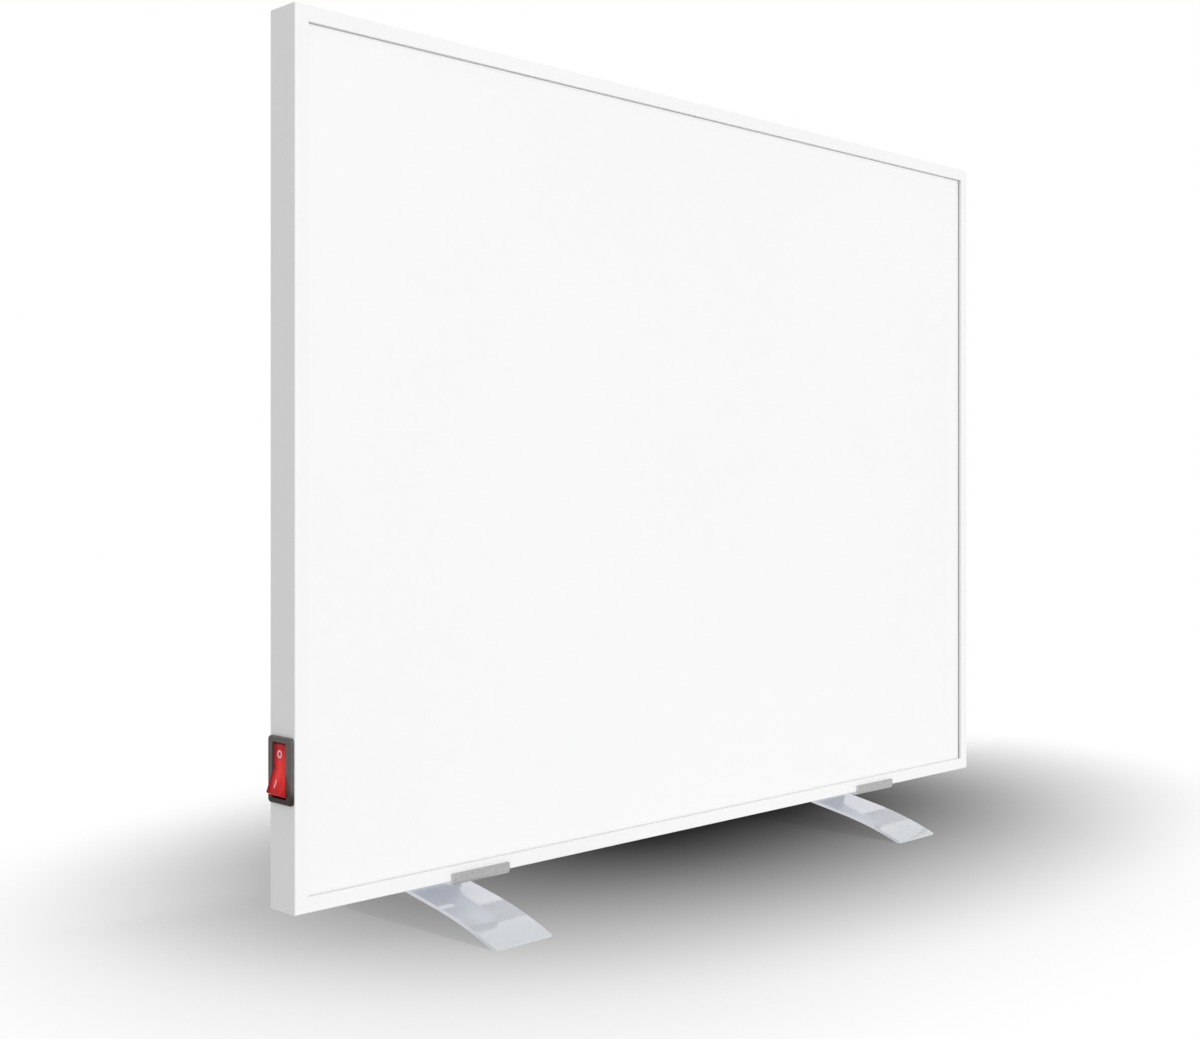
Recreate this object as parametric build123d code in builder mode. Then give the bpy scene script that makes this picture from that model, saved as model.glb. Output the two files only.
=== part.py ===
from build123d import *
import os
from math import cos, hypot, radians, sin, sqrt, tan

os.makedirs("parts", exist_ok=True)

# Panel. X runs along its width, Y from its front to its back, Z up.
# The origin lies on the floor, under the middle of the panel's width and of the feet's length.
panel_width = 600
panel_height = 450
panel_depth = 22
ground_clearance = 30

# Frame extrusion
wall = 1.5
lip_width = 8
lip_thickness = 1.5
shelf_width = 11
shelf_thickness = 1.5
edge_round = 0.7
rear_recess = 2

# Layers behind the lip, from the front to the back
seal_thickness = 1
seal_width = 5.2
sheet_thickness = 1.2
board_thickness = 1.5
foil_thickness = 0.3
cover_thickness = 1
edge_gap = 0.5
board_inset = 12
electrode_width = 6
electrode_inset = 2
electrode_gap = 2

# Wiring bay, the corner that the layers leave free behind the switch
bay_room = 14
bay_side_room = 7
board_bay_width = 34
solder_pocket = 14

# Corner keys
key_leg = 28
key_thickness = 2
key_clearance = 0.6

# Cover screws
screw_inset = 6.5
screw_radius = 1.25
screw_length = 6.5
screw_head_radius = 2.8
screw_end_inset = 30
screw_column_count = 5
screw_row_count = 3
screw_slot_depth = 0.4
screw_slot_width = 0.6
screw_clearance = 0.4
thread_clearance = 0.05

# Threaded inserts for a wall or desk bracket, M6
insert_inset_x = 100
insert_inset_z = 125
insert_bore_radius = 2.5
insert_radius = 4.5
insert_length = 12
insert_flange_radius = 6.5
insert_bulge_radius = 5.6
insert_bulge_length = 2.5
insert_room = 0.9

# Stiffening beads of the back cover
bead_count = 3
bead_spacing = 100
bead_inset = 140
bead_width = 10
bead_height = 0.8
bead_slope = 45

# Fits and overruns
fit = 0.05
slack = 0.1
overrun = 1

# Switch, in the left side of the frame
switch_height = 70.5
bezel_depth = 20.5
bezel_length = 33.5
bezel_thickness = 2
bezel_corner = 2
bezel_edge = 0.9
switch_body_depth = 15
switch_wall = 1
catch_height = 0.7
catch_length = 4
catch_width = 6
pivot_inset = 2.5
rocker_throw = 20
rocker_width = 11.6
rocker_radius = 13.7
rocker_gap = 0.25
rocker_side_gap = 0.2
rocker_valley = 4.2
rocker_underside = 1
rocker_wall = 1.4
rocker_side_wall = 1.2
rocker_edge = 0.35
rocker_crest = 0.6
trunnion_radius = 1.2
trunnion_length = 0.9
ear_radius = 2.6
boss_size = 5.2
boss_reach = 4
spring_radius = 1.3
spring_wire = 0.3
spring_turns = 4
plunger_radius = 1.65
plunger_reach = 8.45
plunger_length = 6.3
mark_depth = 0.3
mark_width = 0.85
mark_ring_radius = 2
mark_bar_length = 4.1
mark_place = 7.3

# Contacts behind the rocker
contact_throw = 8
contact_pivot_inset = 12
contact_length = 16
contact_width = 4.6
contact_thickness = 0.8
contact_lift = 0.1
contact_seat = 6.8
blade_width = 4.8
blade_thickness = 0.8
blade_pitch = 9
blade_reach = 8
anchor_depth = 1
contact_rivet_radius = 1.1
contact_pad = 1.6
stop_size = 1.2
lamp_radius = 1.5
lamp_length = 8
lamp_inset = 7.5
lamp_drop = 11
lamp_wire_radius = 0.3
lamp_wire_inset = 0.6

# Push-on receptacles and leads
receptacle_width = 6.4
receptacle_thickness = 3
receptacle_length = 10
receptacle_grip = 6
lead_radius = 1.2
lead_bend = 5
lead_tight_bend = 2.5
lead_loop = 9
lead_step = 4
heater_lead_edge = 4
side_lead_x = 9.8
solder_x = 17.5

# Terminal block, three ways side by side
block_left = 40
block_bottom = 20
block_width = 27
block_height = 18
block_depth = 14
block_ways = 3
block_hole_radius = 1.4
block_hole_depth = 5
clamp_screw_radius = 1.8
clamp_screw_depth = 3
way_wall = 1.2
lead_pair_half = 1.5

# Earth stud on the back cover
stud_radius = 2
stud_length = 9
stud_room = 24
stud_foot_radius = 4
stud_foot = 0.6
ring_radius = 4.4
ring_thickness = 0.8
ring_barrel_length = 4
ring_barrel_reach = 11
ring_barrel_width = 3.2
stud_nut_flats = 7
stud_nut_height = 3.2

# Thermal cut-out on the back of the heating board
cutout_x = 54
cutout_lead_rise = 7.5
cutout_radius = 8
cutout_body = 7
cutout_brim_radius = 8.6
cutout_brim = 1.2

# Cable gland through the back cover, for a round cord
gland_x = 27
gland_height = 27
gland_thread_radius = 8
gland_thread_length = 8
gland_flats = 20
gland_hex_length = 5
gland_neck_radius = 7.2
gland_neck_length = 7
gland_bore_radius = 5
gland_nut_thickness = 5
seal_bore_radius = 3.5
seal_radius = 6
gland_seal_length = 9
cap_gap = 0.3
cap_hex_length = 7
cap_dome_length = 6.5
cap_dome_radius = 6.4
cap_mouth_radius = 4.6

# Feet, each a long steel strip bent down to the floor at both ends, with a clip riveted on it
foot_inset = 119
foot_width = 40
strip = 2
leg_slope = 10
knee_height = 20
knee_reach = 32
knee_bend = 3
seat_length = 43
front_reach = 36
rear_reach = 84
tip_edge = 1
tip_corner = 1.5
tab_height = 4.2
tab_bend = 0.6
foot_gap = 0.05
riser_reach = 18
riser_bend = 0.4
flange_length = 12
hook_width = 16
hook_height = 5
hook_gap = 0.1
hook_window = 6
hook_window_side = 0.3
rivet_radius = 2
rivet_spacing = 20
rivet_head_radius = 3.4
rivet_head = 1.2
rivet_from_knee = 6.5

# Places worked out from the sizes above
left_x = -panel_width / 2
right_x = panel_width / 2
bottom_z = ground_clearance
top_z = bottom_z + panel_height
middle_z = bottom_z + panel_height / 2
front_y = (front_reach - panel_depth - rear_reach) / 2
rear_y = front_y + panel_depth
middle_y = front_y + panel_depth / 2
lip_back_y = front_y + lip_thickness
sheet_y = lip_back_y + seal_thickness
board_y = sheet_y + sheet_thickness
foil_y = board_y + board_thickness
insulation_y = foil_y + foil_thickness
cover_y = rear_y - rear_recess
cover_back_y = cover_y + cover_thickness
shelf_front_y = cover_y - shelf_thickness
seal_inset = (lip_width + wall) / 2
switch_z = bottom_z + switch_height
rocker_tilt = rocker_throw / 2
contact_tilt = contact_throw / 2
wire_y = middle_y
crossing_y = shelf_front_y - lead_radius - cap_gap
cutout_reach = cutout_radius + blade_reach - receptacle_grip + receptacle_length
cutout_height = switch_height + blade_pitch + cutout_lead_rise + cutout_reach
bay_height = cutout_height + cutout_reach + lead_loop + bay_room
bay_width = block_left + block_width + bay_side_room


def block(low, high, mode=Mode.ADD):
    """A box between two opposite corners."""
    size = [b - a for a, b in zip(low, high)]
    centre = Vector(*low) / 2 + Vector(*high) / 2
    with Locations(centre):
        Box(*size, mode=mode)


def middle_block(low, high, half_y, mode=Mode.ADD):
    """A box between two corners in X and Z, centred on the middle of the panel's depth."""
    (low_x, low_z), (high_x, high_z) = low, high
    block((low_x, middle_y - half_y, low_z), (high_x, middle_y + half_y, high_z), mode)


def in_bay(across, up, y=wire_y):
    """A point given from the panel's lower left corner."""
    return (left_x + across, y, bottom_z + up)


def facing(y):
    """A sketch plane in X and Z at the depth y; its normal points to the front."""
    return Plane.XZ.offset(-y)


def finish(builder, name):
    """Label a piece and write its file."""
    builder.part.label = name
    export_step(builder.part, f"parts/{name}.step")


# Frame rails, one C-shaped section with mitred ends
def rail_section(plane):
    """Outer wall, visible lip in front and screw shelf behind, seen along the rail."""
    lip_back = lip_back_y - front_y
    shelf_front = shelf_front_y - front_y
    shelf_back = cover_y - front_y
    with BuildSketch(plane) as section:
        with BuildLine():
            Polyline(
                (0, 0),
                (lip_width, 0),
                (lip_width, lip_back),
                (wall, lip_back),
                (wall, shelf_front),
                (shelf_width, shelf_front),
                (shelf_width, shelf_back),
                (wall, shelf_back),
                (wall, panel_depth),
                (0, panel_depth),
                close=True,
            )
        make_face()
        fillet(section.vertices().group_by(Axis.X)[0], edge_round)
    return section.sketch


def rail(corner, inward, along, length):
    """One mitred rail from the corner where it starts."""
    start = Vector(*corner)
    stop = start + Vector(*along) * length
    extrude(rail_section(Plane(origin=start, x_dir=inward, z_dir=along)), amount=length)
    split(bisect_by=Plane(origin=start, z_dir=Vector(*along) - Vector(*inward)), keep=Keep.TOP)
    split(bisect_by=Plane(origin=stop, z_dir=-Vector(*along) - Vector(*inward)), keep=Keep.TOP)


def spread(first, last, count):
    """Evenly spaced places from the first to the last."""
    return [first + (last - first) * i / (count - 1) for i in range(count)]


screw_low = bottom_z + screw_inset
screw_high = top_z - screw_inset
screw_left = left_x + screw_inset
screw_right = right_x - screw_inset
screw_columns = spread(left_x + screw_end_inset, right_x - screw_end_inset, screw_column_count)
screw_rows = spread(bottom_z, top_z, screw_row_count + 2)[1:-1]
screw_places = [(x, z) for x in screw_columns for z in (screw_low, screw_high)]
screw_places += [(x, z) for x in (screw_left, screw_right) for z in screw_rows]


def drill(places, radius, y_from, y_to):
    """Straight holes along Y at places given in X and Z."""
    with BuildSketch(facing(y_from)) as holes:
        with Locations(*places):
            Circle(radius)
    extrude(holes.sketch, amount=y_from - y_to, mode=Mode.SUBTRACT)


def drill_shelf(places):
    drill(places, screw_radius + thread_clearance, shelf_front_y - overrun, cover_y + overrun)


with BuildPart() as frame_bottom:
    rail((right_x, front_y, bottom_z), (0, 0, 1), (-1, 0, 0), panel_width)
    drill_shelf([(x, screw_low) for x in screw_columns])
finish(frame_bottom, "frame_bottom")

with BuildPart() as frame_top:
    rail((left_x, front_y, top_z), (0, 0, -1), (1, 0, 0), panel_width)
    drill_shelf([(x, screw_high) for x in screw_columns])
finish(frame_top, "frame_top")

cavity_half_z = rocker_radius + rocker_gap
cavity_half_y = rocker_width / 2 + rocker_side_gap
body_half_z = cavity_half_z + switch_wall
body_half_y = cavity_half_y + switch_wall

with BuildPart() as frame_left:
    rail((left_x, front_y, bottom_z), (1, 0, 0), (0, 0, 1), panel_height)
    drill_shelf([(screw_left, z) for z in screw_rows])
    middle_block(
        (left_x - overrun, switch_z - body_half_z - slack),
        (left_x + wall + overrun, switch_z + body_half_z + slack),
        body_half_y + slack,
        Mode.SUBTRACT,
    )
finish(frame_left, "frame_left")

with BuildPart() as frame_right:
    rail((right_x, front_y, top_z), (-1, 0, 0), (0, 0, -1), panel_height)
    drill_shelf([(screw_right, z) for z in screw_rows])
finish(frame_right, "frame_right")

# Corner keys, angles pressed into the mitred corners
key_low_y = board_y + key_clearance
key_high_y = shelf_front_y - key_clearance
with BuildPart() as corner_keys:
    for x, across in ((left_x, 1), (right_x, -1)):
        for z, up in ((bottom_z, 1), (top_z, -1)):
            corner_x = x + across * wall
            corner_z = z + up * wall
            with BuildSketch(facing(key_low_y)):
                with BuildLine():
                    Polyline(
                        (corner_x, corner_z),
                        (corner_x + across * key_leg, corner_z),
                        (corner_x + across * key_leg, corner_z + up * key_thickness),
                        (corner_x + across * key_thickness, corner_z + up * key_thickness),
                        (corner_x + across * key_thickness, corner_z + up * key_leg),
                        (corner_x, corner_z + up * key_leg),
                        close=True,
                    )
                make_face()
            extrude(amount=key_low_y - key_high_y)
finish(corner_keys, "corner_keys")


# Front seal strips, between the lip and the front sheet
def seal_strip(inset_low_x, inset_high_x, inset_low_z, inset_high_z):
    block(
        (left_x + inset_low_x, lip_back_y, bottom_z + inset_low_z),
        (left_x + inset_high_x, sheet_y, bottom_z + inset_high_z),
    )


seal_in = seal_inset - seal_width / 2
seal_out = seal_inset + seal_width / 2
with BuildPart() as seal_bottom:
    seal_strip(seal_in, panel_width - seal_in, seal_in, seal_out)
finish(seal_bottom, "seal_bottom")

with BuildPart() as seal_top:
    seal_strip(seal_in, panel_width - seal_in, panel_height - seal_out, panel_height - seal_in)
finish(seal_top, "seal_top")

with BuildPart() as seal_left:
    seal_strip(seal_in, seal_out, seal_out, panel_height - seal_out)
finish(seal_left, "seal_left")

with BuildPart() as seal_right:
    seal_strip(panel_width - seal_out, panel_width - seal_in, seal_out, panel_height - seal_out)
finish(seal_right, "seal_right")

# Front sheet, the flat white radiating face
sheet_inset = wall + edge_gap
with BuildPart() as front_sheet:
    block(
        (left_x + sheet_inset, sheet_y, bottom_z + sheet_inset),
        (right_x - sheet_inset, board_y, top_z - sheet_inset),
    )
finish(front_sheet, "front_sheet")

# Heating board, a laminate with the carbon layer, cut away behind the switch
with BuildPart() as heating_board:
    block(
        (left_x + board_inset, board_y, bottom_z + board_inset),
        (right_x - board_inset, foil_y, top_z - board_inset),
    )
    block(
        (left_x, board_y - overrun, bottom_z),
        (left_x + board_bay_width, foil_y + overrun, bottom_z + bay_height),
        Mode.SUBTRACT,
    )
finish(heating_board, "heating_board")

# Copper electrode strips along the board's top and bottom edges
electrode_out = board_inset + electrode_inset
electrode_in = electrode_out + electrode_width
with BuildPart() as electrode_strips:
    block(
        (left_x + board_bay_width + electrode_inset, foil_y, bottom_z + electrode_out),
        (right_x - electrode_out, insulation_y, bottom_z + electrode_in),
    )
    block(
        (left_x + electrode_out, foil_y, top_z - electrode_in),
        (right_x - electrode_out, insulation_y, top_z - electrode_out),
    )
finish(electrode_strips, "electrode_strips")


# Reflector foil and insulation board, both open over the wiring bay
def cut_bay(y_from, y_to):
    block(
        (left_x, y_from - overrun, bottom_z),
        (left_x + bay_width, y_to + overrun, bottom_z + bay_height),
        Mode.SUBTRACT,
    )


insert_places = [
    (x, z)
    for x in (left_x + insert_inset_x, right_x - insert_inset_x)
    for z in (bottom_z + insert_inset_z, top_z - insert_inset_z)
]
foil_edge = electrode_in + electrode_gap
with BuildPart() as reflector_foil:
    block(
        (left_x + board_inset, foil_y, bottom_z + foil_edge),
        (right_x - board_inset, insulation_y, top_z - foil_edge),
    )
    cut_bay(foil_y, insulation_y)
finish(reflector_foil, "reflector_foil")

with BuildPart() as insulation_board:
    block(
        (left_x + board_inset, insulation_y, bottom_z + board_inset),
        (right_x - board_inset, cover_y, top_z - board_inset),
    )
    cut_bay(insulation_y, cover_y)
    block(
        (left_x, insulation_y - overrun, top_z - board_inset - solder_pocket),
        (left_x + board_inset + solder_pocket, cover_y + overrun, top_z),
        Mode.SUBTRACT,
    )
    drill(insert_places, insert_bulge_radius + insert_room, insulation_y - overrun, cover_y + overrun)
finish(insulation_board, "insulation_board")

# Back cover, screwed on the frame's shelf inside its rear edge
gland_place = (left_x + gland_x, bottom_z + gland_height)
bead_places = [(0, middle_z + z) for z in spread(-bead_spacing, bead_spacing, bead_count)]
bead_length = panel_width - 2 * bead_inset
with BuildPart() as back_cover:
    block(
        (left_x + sheet_inset, cover_y, bottom_z + sheet_inset),
        (right_x - sheet_inset, cover_back_y, top_z - sheet_inset),
    )
    with BuildSketch(facing(cover_back_y)):
        with Locations(*bead_places):
            SlotOverall(bead_length, bead_width)
    extrude(amount=-bead_height, taper=bead_slope)
    with BuildSketch(facing(cover_y)):
        with Locations(*bead_places):
            SlotOverall(bead_length - bead_height, bead_width - bead_height)
    extrude(amount=-bead_height, taper=bead_slope, mode=Mode.SUBTRACT)
    drill(screw_places, screw_radius + screw_clearance, cover_y - overrun, cover_back_y + overrun)
    drill(insert_places, insert_radius + slack, cover_y - overrun, cover_back_y + overrun)
    drill([gland_place], gland_thread_radius + slack, cover_y - overrun, cover_back_y + overrun)
finish(back_cover, "back_cover")

# Cover screws, with low slotted heads flush with the frame's rear edge
with BuildPart() as cover_screws:
    with BuildSketch(facing(cover_back_y)):
        with Locations(*screw_places):
            Circle(screw_head_radius)
    extrude(amount=cover_back_y - rear_y)
    with BuildSketch(facing(cover_back_y)):
        with Locations(*screw_places):
            Circle(screw_radius)
    extrude(amount=screw_length)
    with BuildSketch(facing(rear_y)):
        with Locations(*screw_places):
            Rectangle(2 * screw_head_radius, screw_slot_width)
    extrude(amount=screw_slot_depth, mode=Mode.SUBTRACT)
finish(cover_screws, "cover_screws")

# Threaded inserts, rivet nuts set in the back cover
with BuildPart() as threaded_inserts:
    with BuildSketch(facing(cover_back_y)):
        with Locations(*insert_places):
            Circle(insert_flange_radius)
    extrude(amount=cover_back_y - rear_y)
    with BuildSketch(facing(cover_back_y)):
        with Locations(*insert_places):
            Circle(insert_radius)
    extrude(amount=insert_length)
    with BuildSketch(facing(cover_y)):
        with Locations(*insert_places):
            Circle(insert_bulge_radius)
    extrude(amount=insert_bulge_length)
    drill(insert_places, insert_bore_radius, cover_back_y - insert_length - overrun, rear_y + overrun)
finish(threaded_inserts, "threaded_inserts")


# Cable gland: body, lock nut, seal and cap on one axis
def ring_layer(radius, y_from, y_to, mode=Mode.ADD, place=gland_place):
    """A round layer along Y at the place."""
    with BuildSketch(facing(y_from)) as layer:
        with Locations(place):
            Circle(radius)
    extrude(layer.sketch, amount=y_from - y_to, mode=mode)


def hex_layer(flats, y_from, y_to, place=gland_place):
    """A hexagonal layer along Y at the place."""
    with BuildSketch(facing(y_from)) as layer:
        with Locations(place):
            RegularPolygon(flats / 2, 6, major_radius=False)
    extrude(layer.sketch, amount=y_from - y_to)


gland_inner_y = cover_back_y - gland_thread_length
neck_y = cover_back_y + gland_hex_length
neck_end_y = neck_y + gland_neck_length
seal_start_y = neck_y + cap_gap
seal_end_y = seal_start_y + gland_seal_length
with BuildPart() as gland_body:
    ring_layer(gland_thread_radius, gland_inner_y, cover_back_y)
    hex_layer(gland_flats, cover_back_y, neck_y)
    ring_layer(gland_neck_radius, neck_y, neck_end_y)
    ring_layer(gland_bore_radius, gland_inner_y - overrun, seal_start_y, Mode.SUBTRACT)
    ring_layer(seal_radius + slack, seal_start_y, neck_end_y + overrun, Mode.SUBTRACT)
finish(gland_body, "gland_body")

with BuildPart() as gland_lock_nut:
    hex_layer(gland_flats, cover_y - gland_nut_thickness, cover_y)
    ring_layer(
        gland_thread_radius + fit, cover_y - gland_nut_thickness - overrun, cover_y + overrun, Mode.SUBTRACT
    )
finish(gland_lock_nut, "gland_lock_nut")

with BuildPart() as gland_seal:
    ring_layer(seal_radius, seal_start_y, seal_end_y)
    ring_layer(seal_bore_radius, seal_start_y - overrun, seal_end_y + overrun, Mode.SUBTRACT)
finish(gland_seal, "gland_seal")

cap_y = neck_y + cap_gap
cap_shoulder_y = cap_y + cap_hex_length
cap_end_y = cap_shoulder_y + cap_dome_length
with BuildPart() as gland_cap:
    hex_layer(gland_flats, cap_y, cap_shoulder_y)
    with BuildSketch(facing(cap_shoulder_y)):
        with Locations(gland_place):
            Circle(gland_flats / 2)
    with BuildSketch(facing(cap_end_y)):
        with Locations(gland_place):
            Circle(cap_dome_radius)
    loft()
    ring_layer(gland_neck_radius + slack, cap_y - overrun, neck_end_y + cap_gap, Mode.SUBTRACT)
    ring_layer(seal_radius + slack, neck_end_y, seal_end_y, Mode.SUBTRACT)
    ring_layer(cap_mouth_radius, seal_end_y - overrun, cap_end_y + overrun, Mode.SUBTRACT)
finish(gland_cap, "gland_cap")

# Terminal block on the inside of the back cover
way_pitch = block_width / block_ways
way_places = [block_left + way_pitch * (i + 1 / 2) for i in range(block_ways)]
neutral_way, live_way, earth_way = way_places
block_top = block_bottom + block_height
clamp_rows = [block_bottom + block_height / 4, block_top - block_height / 4]
block_front_y = cover_y - block_depth
with BuildPart() as terminal_block:
    block(
        in_bay(block_left, block_bottom, block_front_y),
        in_bay(block_left + block_width, block_top, cover_y),
    )
    for way in way_places[:-1]:
        groove = way + way_pitch / 2
        block(
            in_bay(groove - way_wall / 2, block_bottom - overrun, block_front_y - overrun),
            in_bay(groove + way_wall / 2, block_top + overrun, block_front_y + clamp_screw_depth),
            Mode.SUBTRACT,
        )
    for way in way_places:
        for row in clamp_rows:
            with BuildSketch(facing(block_front_y)):
                with Locations((left_x + way, bottom_z + row)):
                    Circle(clamp_screw_radius + fit)
            extrude(amount=-clamp_screw_depth, mode=Mode.SUBTRACT)
        with BuildSketch(Plane.XY.offset(bottom_z + block_bottom)):
            with Locations((left_x + way, wire_y)):
                Circle(block_hole_radius)
        extrude(amount=block_hole_depth, mode=Mode.SUBTRACT)
finish(terminal_block, "terminal_block")

with BuildPart() as terminal_screws:
    for way in way_places:
        for row in clamp_rows:
            with BuildSketch(facing(block_front_y + clamp_screw_depth)):
                with Locations((left_x + way, bottom_z + row)):
                    Circle(clamp_screw_radius)
            extrude(amount=clamp_screw_depth - screw_slot_depth)
            with BuildSketch(facing(block_front_y + screw_slot_depth)):
                with Locations((left_x + way, bottom_z + row)):
                    Rectangle(2 * clamp_screw_radius, screw_slot_width)
            extrude(amount=-screw_slot_depth, mode=Mode.SUBTRACT)
finish(terminal_screws, "terminal_screws")

# Earth stud with its ring terminal and nut
stud_height = block_top + stud_room
stud_place = (left_x + earth_way, bottom_z + stud_height)
ring_y = cover_y - stud_foot - ring_thickness
nut_y = ring_y - stud_nut_height
with BuildPart() as earth_stud:
    ring_layer(stud_radius, cover_y - stud_length, cover_y, place=stud_place)
    ring_layer(stud_foot_radius, cover_y - stud_foot, cover_y, place=stud_place)
finish(earth_stud, "earth_stud")

barrel_start = stud_height - ring_barrel_reach
with BuildPart() as earth_ring:
    ring_layer(ring_radius, ring_y, ring_y + ring_thickness, place=stud_place)
    block(
        in_bay(earth_way - ring_barrel_width / 2, barrel_start, ring_y),
        in_bay(earth_way + ring_barrel_width / 2, stud_height, ring_y + ring_thickness),
    )
    block(
        in_bay(earth_way - ring_barrel_width / 2, barrel_start, ring_y - ring_barrel_width / 2),
        in_bay(earth_way + ring_barrel_width / 2, barrel_start + ring_barrel_length, ring_y + ring_thickness),
    )
    ring_layer(
        stud_radius + fit, ring_y - overrun, ring_y + ring_thickness + overrun, Mode.SUBTRACT, stud_place
    )
finish(earth_ring, "earth_ring")

with BuildPart() as earth_nut:
    hex_layer(stud_nut_flats, nut_y, ring_y, stud_place)
    ring_layer(stud_radius + fit, nut_y - overrun, ring_y + overrun, Mode.SUBTRACT, stud_place)
finish(earth_nut, "earth_nut")

# Thermal cut-out, a round body with a blade at its top and its bottom
cutout_place = (left_x + cutout_x, bottom_z + cutout_height)
cutout_back_y = foil_y + cutout_body
blade_y = wire_y
with BuildPart() as thermal_cutout:
    ring_layer(cutout_brim_radius, foil_y, foil_y + cutout_brim, place=cutout_place)
    ring_layer(cutout_radius, foil_y, cutout_back_y, place=cutout_place)
    block(
        in_bay(
            cutout_x - blade_width / 2,
            cutout_height - cutout_radius - blade_reach,
            blade_y - blade_thickness / 2,
        ),
        in_bay(
            cutout_x + blade_width / 2,
            cutout_height + cutout_radius + blade_reach,
            blade_y + blade_thickness / 2,
        ),
    )
finish(thermal_cutout, "thermal_cutout")

# Push-on receptacles on the blades of the switch and the cut-out
switch_body_x = left_x + switch_body_depth
blade_end_x = switch_body_x + blade_reach
receptacle_x = blade_end_x - receptacle_grip
cutout_low_z = bottom_z + cutout_height - cutout_radius - blade_reach
cutout_high_z = bottom_z + cutout_height + cutout_radius + blade_reach
blade_rows = [switch_z - blade_pitch, switch_z, switch_z + blade_pitch]
receptacle_planes = [
    Plane(origin=(receptacle_x, wire_y, z), x_dir=(0, 1, 0), z_dir=(1, 0, 0)) for z in blade_rows
]
receptacle_planes += [
    Plane(
        origin=(left_x + cutout_x, blade_y, cutout_low_z + receptacle_grip),
        x_dir=(1, 0, 0),
        z_dir=(0, 0, -1),
    ),
    Plane(
        origin=(left_x + cutout_x, blade_y, cutout_high_z - receptacle_grip),
        x_dir=(1, 0, 0),
        z_dir=(0, 0, 1),
    ),
]
with BuildPart() as receptacles:
    for plane in receptacle_planes:
        with BuildSketch(plane):
            Rectangle(receptacle_width, receptacle_thickness)
        extrude(amount=receptacle_length)
        with BuildSketch(plane):
            Rectangle(blade_width + slack, blade_thickness + slack)
        extrude(amount=receptacle_grip + slack, mode=Mode.SUBTRACT)
finish(receptacles, "receptacles")


# Leads, round insulated wires along fixed routes inside the frame
def lead(name, points, bend=lead_bend):
    """A round wire through the points, with a fillet of the bend radius at each corner."""
    with BuildPart() as wire:
        with BuildLine() as route:
            FilletPolyline(*points, radius=bend)
        with BuildSketch(Plane(origin=route.line @ 0, z_dir=route.line % 0)):
            Circle(lead_radius)
        sweep(path=route.line)
    finish(wire, name)


switch_lead_x = receptacle_x + receptacle_length - left_x
row_low, row_middle, row_high = [z - bottom_z for z in blade_rows]
cutout_low = cutout_height - cutout_reach
cutout_high = cutout_height + cutout_reach
lamp_lead_x = neutral_way - lead_pair_half
neutral_lead_x = neutral_way + lead_pair_half
lead(
    "lead_lamp",
    [in_bay(lamp_lead_x, block_top), in_bay(lamp_lead_x, row_low), in_bay(switch_lead_x, row_low)],
)
lead(
    "lead_live",
    [in_bay(live_way, block_top), in_bay(live_way, row_middle), in_bay(switch_lead_x, row_middle)],
)
lead(
    "lead_switched",
    [in_bay(switch_lead_x, row_high), in_bay(cutout_x, row_high), in_bay(cutout_x, cutout_low)],
)

heater_lead_x = bay_width - heater_lead_edge
electrode_middle = (electrode_out + electrode_in) / 2
lead(
    "lead_heater",
    [
        in_bay(cutout_x, cutout_high),
        in_bay(cutout_x, cutout_high + lead_loop),
        in_bay(heater_lead_x, cutout_high + lead_loop),
        in_bay(heater_lead_x, electrode_middle),
        in_bay(heater_lead_x, electrode_middle, insulation_y),
    ],
    lead_tight_bend,
)
neutral_top = panel_height - electrode_middle
lead(
    "lead_neutral",
    [
        in_bay(neutral_lead_x, block_top),
        in_bay(neutral_lead_x, block_top + lead_loop),
        in_bay(neutral_lead_x, block_top + 2 * lead_loop, crossing_y),
        in_bay(live_way - way_pitch, cutout_height, crossing_y),
        in_bay(side_lead_x, bay_height - 2 * lead_loop, crossing_y),
        in_bay(side_lead_x, neutral_top - lead_loop, crossing_y),
        in_bay(solder_x, neutral_top, crossing_y),
        in_bay(solder_x, neutral_top, insulation_y),
    ],
    lead_tight_bend,
)
earth_lead_y = ring_y - lead_radius + ring_thickness
lead(
    "lead_earth",
    [
        in_bay(earth_way, block_top),
        in_bay(earth_way, block_top + lead_step),
        in_bay(earth_way, barrel_start - lead_step, earth_lead_y),
        in_bay(earth_way, barrel_start, earth_lead_y),
    ],
    lead_tight_bend,
)

# Switch. Every profile is drawn across X and Z, with its first axis pointing out of the frame.
pivot_x = left_x + pivot_inset
outward = (-1, 0, 0)
to_back = (0, 1, 0)


def tilted(plane, angle):
    """The same sketch plane turned about its own normal."""
    return Plane(
        origin=plane.origin,
        x_dir=plane.x_dir.rotate(Axis((0, 0, 0), plane.z_dir), angle),
        z_dir=plane.z_dir,
    )


pivot_plane = Plane(origin=(pivot_x, middle_y, switch_z), x_dir=outward, z_dir=to_back)
rocker_plane = tilted(pivot_plane, rocker_tilt)


def straddle(half, mode=Mode.ADD):
    """Extrude the sketch to both sides of the switch's middle plane."""
    extrude(amount=half, both=True, mode=mode)


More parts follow.
